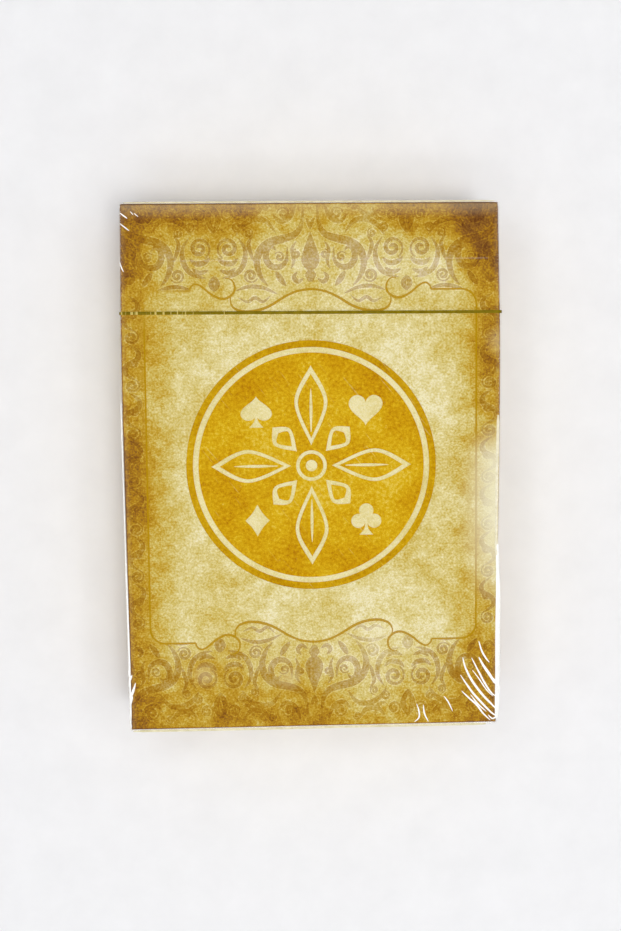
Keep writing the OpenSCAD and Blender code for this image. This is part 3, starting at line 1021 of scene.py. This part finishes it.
# Width and path of each crease, on the flat front; their white is partly painted glint
SLEEVE_CREASES = [
    (0.3, [(29.5, -31.5), (30, -33.2), (30.7, -34.5), (31.4, -35.4)]),
    (0.4, [(26.6, -34.4), (27.1, -36.3), (28.3, -38.7), (30.1, -41.2), (31.7, -42.9), (32.6, -44)]),
    (0.32, [(28.2, -34.5), (29.3, -36.7), (30.5, -39), (31.5, -40.6), (32.5, -41.7)]),
    (0.48, [(29.5, -34.4), (30.3, -35.9), (31.3, -37.4), (32.3, -39), (33.2, -40.9)]),
    (0.2, [(28.3, -36.7), (29.5, -38.3), (30.9, -40.4), (32.1, -41.6)]),
    (0.37, [(26.2, -37.6), (27.3, -39.3), (28.5, -41), (29.9, -42.6), (31.7, -44.5), (33.1, -45.6)]),
    (0.32, [(26.4, -40.5), (27.7, -41.8), (29.1, -43.1), (30.3, -44.7), (31.6, -46)]),
    (0.36, [(32.3, -40.6), (32.8, -41.8), (32.9, -43.5), (32.9, -45)]),
    (0.3, [(32.5, -38.8), (32.9, -41.2), (33, -43.6), (32.7, -45.6)]),
    (0.24, [(33.1, -40), (33.2, -42.2), (33.1, -44.6)]),
    (0.26, [(31.2, -45), (32, -45.7), (32.7, -45.2)]),
    (0.22, [(29.2, -40), (30.6, -41.9), (31.9, -43.2)]),
    (0.22, [(28, -41.2), (29.4, -43), (30.9, -44.4)]),
    (0.22, [(23.2, -41.4), (24, -42.5), (24.8, -44.2)]),
    (0.25, [(18.3, -42.7), (18.7, -44), (18.7, -45.2), (17.9, -46)]),
    (0.26, [(19.5, -42.9), (19.7, -44.5), (20.4, -46)]),
    (0.24, [(-32.9, -36.7), (-32.5, -34.9)]),
    (0.28, [(-32.9, -38.5), (-32.3, -36.4)]),
    (0.32, [(-32.6, -40.7), (-31.8, -37.8)]),
    (0.3, [(-32.8, -42.6), (-32.3, -40.2)]),
    (0.45, [(-32.9, -45.8), (-32.6, -42.2)]),
]
CAP_CREASES = [
    (0.22, [(-32.7, 44.6), (-31.4, 43.6)]),
    (0.2, [(-32.7, 42.8), (-31.1, 41.5)]),
    (0.14, [(-30.9, 44.8), (-30.4, 44.2)]),
    (0.14, [(-30.3, 44.5), (-29.6, 43.9)]),
    (0.2, [(-32.8, 36.3), (-32.5, 35.4), (-32.1, 34.5)]),
]


def around(s):
    """Places and outward directions in x and z on the loop, s along it from the front's middle."""
    run = np.abs(s)
    first = np.clip((run - FILM_FLAT) / FILM_BEND_R, 0, math.pi / 2)
    second = np.clip((run - UNDER_AT) / FILM_BEND_R, 0, math.pi / 2)
    down = np.clip(run - SIDE_AT, 0, FILM_SIDE)
    back = np.maximum(run - BACK_AT, 0)
    x = np.minimum(run, FILM_FLAT) + FILM_BEND_R * (np.sin(first) - 1 + np.cos(second)) - back
    z = FILM_FRONT - FILM_BEND_R * (1 - np.cos(first) + np.sin(second)) - down
    way = np.where(s < 0, -1.0, 1.0)
    return way * x, z, way * np.sin(first + second), np.cos(first + second)


def film_slack(s, y):
    """How far the film stands off its plain loop. It lies flat on the back."""
    _, _, _, up = around(s)
    broad = np.sin(BROAD_ALONG * s + BROAD_UP * y) * np.cos(SWAY_UP * y + SWAY_START)
    fine = FINE_SHARE * np.sin(FINE_UP * y + FINE_ALONG * s + FINE_START)
    return SLACK * (broad + fine) * np.clip(1 + up, 0, 1)


def film_points(s, y, rise):
    """Places of the film in mm. Along its loose edges it stands out beyond the carton."""
    x, z, nx, nz = around(s)
    run = np.abs(s)
    front = np.clip((run - FILM_FLAT + LOOSE_FROM) / LOOSE_FROM, 0, 1)
    edge = front * (1 - smooth((run - SIDE_AT) / LOOSE_SIDE))
    out, lift = np.zeros(np.shape(s)), np.zeros(np.shape(s))
    for way, width, height, at, reach in LOOSE_EDGES:
        share = np.where(s * way > 0, np.exp(-(((y - at) / reach) ** 4)), 0) * edge
        out = out + width * share
        lift = lift + height * share
    x = x + nx * rise + np.sign(s) * out + bow(x, y)
    return np.stack([x, y, z + nz * rise + lift * np.clip(nz, 0, 1)], axis=-1)


def spaced(low, high, step):
    """Even steps from low up to high, without the last."""
    return np.linspace(low, high, max(1, math.ceil((high - low) / step)), endpoint=False)


def loop_places():
    """Places along the film's loop, close together where it bends and near its edges."""
    inner = FILM_FLAT - EDGE_BAND
    bend = FILM_BEND / BEND_STEPS
    end = FILM_LOOP + LAP
    right = np.concatenate([
        spaced(0, inner, WALL_STEP), spaced(inner, FILM_FLAT, EDGE_STEP), spaced(FILM_FLAT, SIDE_AT, bend),
        spaced(SIDE_AT, UNDER_AT, SIDE_STEP), spaced(UNDER_AT, BACK_AT, bend),
        spaced(BACK_AT, end, WALL_STEP), [end],
    ])
    return np.concatenate([-right[:0:-1], right])


def wall_of(s):
    """Which wall a place on the loop belongs to, or None on a bend."""
    run = abs(s)
    if run <= FILM_FLAT + TOUCH:
        return "front"
    if SIDE_AT - TOUCH <= run <= UNDER_AT + TOUCH:
        return "left" if s < 0 else "right"
    if run >= BACK_AT - TOUCH:
        return "back_left" if s < 0 else "back_right"
    return None


# How many layers lie over each flap of an end
FLAP_LEVEL = {"front": 0, "back_left": 1, "back_right": 1, "left": 2, "right": 2, None: 2}
WALLS = ("front", "left", "right", "back_left", "back_right")


def grid_faces(rows, cols, closed=False):
    """Faces of a grid of points, whose last column meets the first if it is closed."""
    return [(r * cols + c, r * cols + (c + 1) % cols, (r + 1) * cols + (c + 1) % cols, (r + 1) * cols + c)
            for r in range(rows - 1) for c in range(cols if closed else cols - 1)]


def fold_flap(points, rim, outward, sideways, way):
    """Folds a flap in from the rim of a wall: adds its points, and returns its faces."""
    bend = np.radians(np.linspace(0, 90, BEND_STEPS))[1:]
    steps = [(FILM_BEND_R * (1 - math.cos(a)), FILM_BEND_R * math.sin(a)) for a in bend]
    steps += [(FILM_BEND_R + run, FILM_BEND_R) for run in spaced(FLAP_FROM, FLAP_LEN - FILM_BEND_R, FLAP_ROW)]
    faces, before = [], rim
    for inward, onward in steps:
        row = []
        for corner, (out_x, out_z) in zip(rim, outward):
            x, y, z = points[corner]
            if sideways:
                x -= out_x * inward
            else:
                x *= 1 - inward / FILM_FLAT
                z -= out_z * inward
            row.append(len(points))
            points.append((x, y + way * onward, z))
        faces += [(before[i], before[i + 1], row[i + 1], row[i]) for i in range(len(row) - 1)]
        before = row
    return faces


def add_film(name, node, body, rim_y, end_y, material):
    """One part of the wrap, from its torn rim to an end that is folded like an envelope."""
    way = math.copysign(1, end_y - rim_y)
    s = loop_places()
    walls = [wall_of(place) for place in s]
    level = np.array([FLAP_LEVEL[wall] for wall in walls])
    stop = end_y - way * (FLAP_STEP * level + FILM_BEND_R)
    rows, cols = math.ceil(abs(end_y - rim_y) / ROW_STEP), len(s)
    grid_s, share = np.meshgrid(s, np.linspace(0, 1, rows))
    y = rim_y + (stop - rim_y) * share
    lapped = np.clip((grid_s - FILM_LOOP + LAP + LAP_RAMP) / LAP_RAMP, 0, 1)
    points = film_points(grid_s, y, film_slack(grid_s, y) - LAP_IN * lapped).reshape(-1, 3).tolist()
    faces = grid_faces(rows, cols)
    outward = np.transpose(around(s)[2:])
    for wall in WALLS:
        members = [c for c in range(cols) if walls[c] == wall]
        rim = [(rows - 1) * cols + c for c in members]
        faces += fold_flap(points, rim, outward[members], wall in ("left", "right"), way)
    if way < 0:
        faces = [face[::-1] for face in faces]
    sheet = add_mesh(name, np.array(points), faces, material)
    thicken(sheet, FILM_T)
    let_light_through(sheet)
    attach(sheet, body)
    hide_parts(node)


def add_creases(name, body, creases, slope, swell, material):
    """Little ridges of film, each with two flanks that run out at its ends."""
    points, faces = [], []
    for width, path in creases:
        line = spline(path)
        count = len(line)
        share = np.linspace(*RIDGE_ENDS, count)
        half = width / 2 * np.minimum(swell * np.sin(np.pi * share), 1) ** RIDGE_SWELL
        for lane in (-1, 0, 1):
            at = line + across(line) * (lane * half)[:, None]
            height = film_slack(at[:, 0], at[:, 1]) + CREASE_T / 2 + slope * half * (lane == 0)
            first = len(points)
            points += film_points(at[:, 0], at[:, 1], height).tolist()
            if lane > -1:
                faces += [(i - count, i - count + 1, i + 1, i) for i in range(first, first + count - 1)]
    ridges = add_mesh(name, np.array(points), faces, material)
    thicken(ridges, CREASE_T)
    let_light_through(ridges)
    ridges.data.shade_flat()
    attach(ridges, body)


def add_mesh(name, points, faces, material):
    """A smooth mesh from points in mm."""
    data = bpy.data.meshes.new(name)
    data.from_pydata((points * MM).tolist(), [], faces)
    data.shade_smooth()
    data.materials.append(material)
    return add_object(name, data)


def thicken(sheet, thickness):
    """Makes a sheet a closed solid with crisp rims."""
    shell = sheet.modifiers.new("thickness", "SOLIDIFY")
    shell.thickness = thickness * MM
    shell.offset = 0
    ready = sheet.evaluated_get(bpy.context.evaluated_depsgraph_get())
    sheet.data = bpy.data.meshes.new_from_object(ready)
    sheet.modifiers.clear()
    sheet.data.set_sharp_from_angle(angle=math.radians(SHARP_ANGLE))


def let_light_through(sheet):
    """Clear film neither shades nor tints what is under it."""
    sheet.visible_shadow = False
    sheet.visible_diffuse = False


def add_wrap():
    """The clear film, and on it the creases, the painted highlights of its edges, hems and right side, and a
    fold.
    """
    film = film_material()
    pale_films = {name: pale_film_material(name, *look) for name, look in PALE_FILM_LOOKS.items()}
    add_film("film_sleeve", "wrap_sleeve", "sleeve", film_high.y, film_low.y + FILM_T / 2 - BOTTOM_BOW, film)
    add_film("film_cap", "wrap_cap", "cap", cap_low.y, cap_high.y - FILM_T / 2, film)
    for name, body, creases, shape, finish in (
        ("film_sleeve_creases", "sleeve", SLEEVE_CREASES, RIDGE, "creased_glinting_film"),
        ("film_cap_creases", "cap", CAP_CREASES, RIDGE, "creased_glinting_film"),
        ("film_sleeve_edge_highlights", "sleeve", EDGE_HIGHLIGHTS, STRIP, "edge_highlight_film"),
        ("film_sleeve_hem", "sleeve", SLEEVE_HEM, STRIP, "fold_highlight_film"),
        ("film_sleeve_sheen", "sleeve", SLEEVE_SHEEN, STRIP, "sheen_film"),
        ("film_cap_hem", "cap", CAP_HEM, STRIP, "fold_highlight_film"),
        ("film_cap_fold", "cap", CAP_FOLD, STRIP, "pressed_film"),
    ):
        add_creases(name, body, creases, *shape, pale_films[finish])


TAPE_T = 0.06
TAPE_IN = 0.06
TAPE_MARGIN = 0.05
TAPE_LINES = 4
# How much higher the tape is at the left of the front than at the right
TAPE_TILT = 0.28


def add_tape():
    """The tear tape: a band round the wrap, just under the film's surface."""
    low, high = (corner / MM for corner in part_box("tear_tape"))
    s = loop_places()
    s = s[(s >= -FILM_LOOP) & (s < FILM_LOOP)]
    edges = np.linspace(low.y + TAPE_MARGIN, high.y - TAPE_MARGIN, TAPE_LINES)
    grid_s, y = np.meshgrid(s, edges)
    x, z, _, _ = around(grid_s)
    y = y + TAPE_TILT * (1 - x / FILM_HALF_W) / 2 * (z - FILM_BACK) / (FILM_FRONT - FILM_BACK)
    points = film_points(grid_s, y, film_slack(grid_s, y) - TAPE_IN).reshape(-1, 3)
    faces = grid_faces(*grid_s.shape, closed=True)
    band = add_mesh("tear_band", points, faces, tape_material())
    thicken(band, TAPE_T)
    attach(band, "tape")
    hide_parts("tear_tape")


# Floor and light

FLOOR_SIZE = 3.0
FLOOR_NOISE = (120, 4, 0.6)
FLOOR_TONES = [(0.2, srgb(231, 231, 233)), (0.8, srgb(238, 238, 240))]
KEY_AT = Vector((0.07, -0.06, 0.80))
KEY_SIZE = 0.20, 0.30
KEY_WATTS = 2.76
# Height of the direction, from 0 level to 1 overhead, and how bright the sky is there
SKY = [(0.0, 0.80), (0.25, 0.80), (0.40, 0.35), (0.82, 0.35), (0.84, 3.6), (0.885, 3.6), (0.905, 0.01)]
SKY_TOP = 3.6
# Share by which the sky gets brighter along each axis
SKY_LEAN = (0.0, -0.10, 0.0)


def add_stage():
    """A plain pale floor."""
    mat = Material("floor")
    tone = mat.noise(mat.here, *FLOOR_NOISE)
    mat.set(base_color=mat.ramp(tone, FLOOR_TONES), roughness=0.9)
    bpy.ops.mesh.primitive_plane_add(size=FLOOR_SIZE)
    floor = bpy.context.object
    floor.name = "floor"
    floor.data.materials.append(mat.material)


def add_light():
    """A soft box overhead that the film doesn't mirror, and a sky that is bright round the zenith."""
    lamp = bpy.data.lights.new("key", "AREA")
    lamp.shape = "RECTANGLE"
    lamp.size, lamp.size_y = KEY_SIZE
    lamp.energy = KEY_WATTS
    box = add_object("key", lamp)
    box.location = KEY_AT
    box.rotation_euler = (-KEY_AT).to_track_quat("-Z", "Y").to_euler()
    box.visible_glossy = False

    world = bpy.data.worlds.new("studio")
    world.use_nodes = True
    sky = Nodes(world.node_tree)
    direction = sky.add("ShaderNodeTexCoord").outputs["Generated"]
    height = sky.add("ShaderNodeSeparateXYZ", {0: direction}).outputs["Z"]
    grey = sky.ramp(height, [(place, (bright / SKY_TOP,) * 3 + (1,)) for place, bright in SKY])
    lean = {0: sky.dot(direction, SKY_LEAN), 1: SKY_TOP, 2: SKY_TOP}
    strength = sky.add("ShaderNodeMath", lean, operation="MULTIPLY_ADD").outputs[0]
    background = world.node_tree.nodes["Background"]
    sky.put(background.inputs["Color"], grey)
    sky.put(background.inputs["Strength"], strength)
    bpy.context.scene.world = world
    bpy.context.scene.view_settings.view_transform = "Standard"


add_camera()
add_carton()
add_cards()
add_wrap()
add_tape()
add_stage()
add_light()
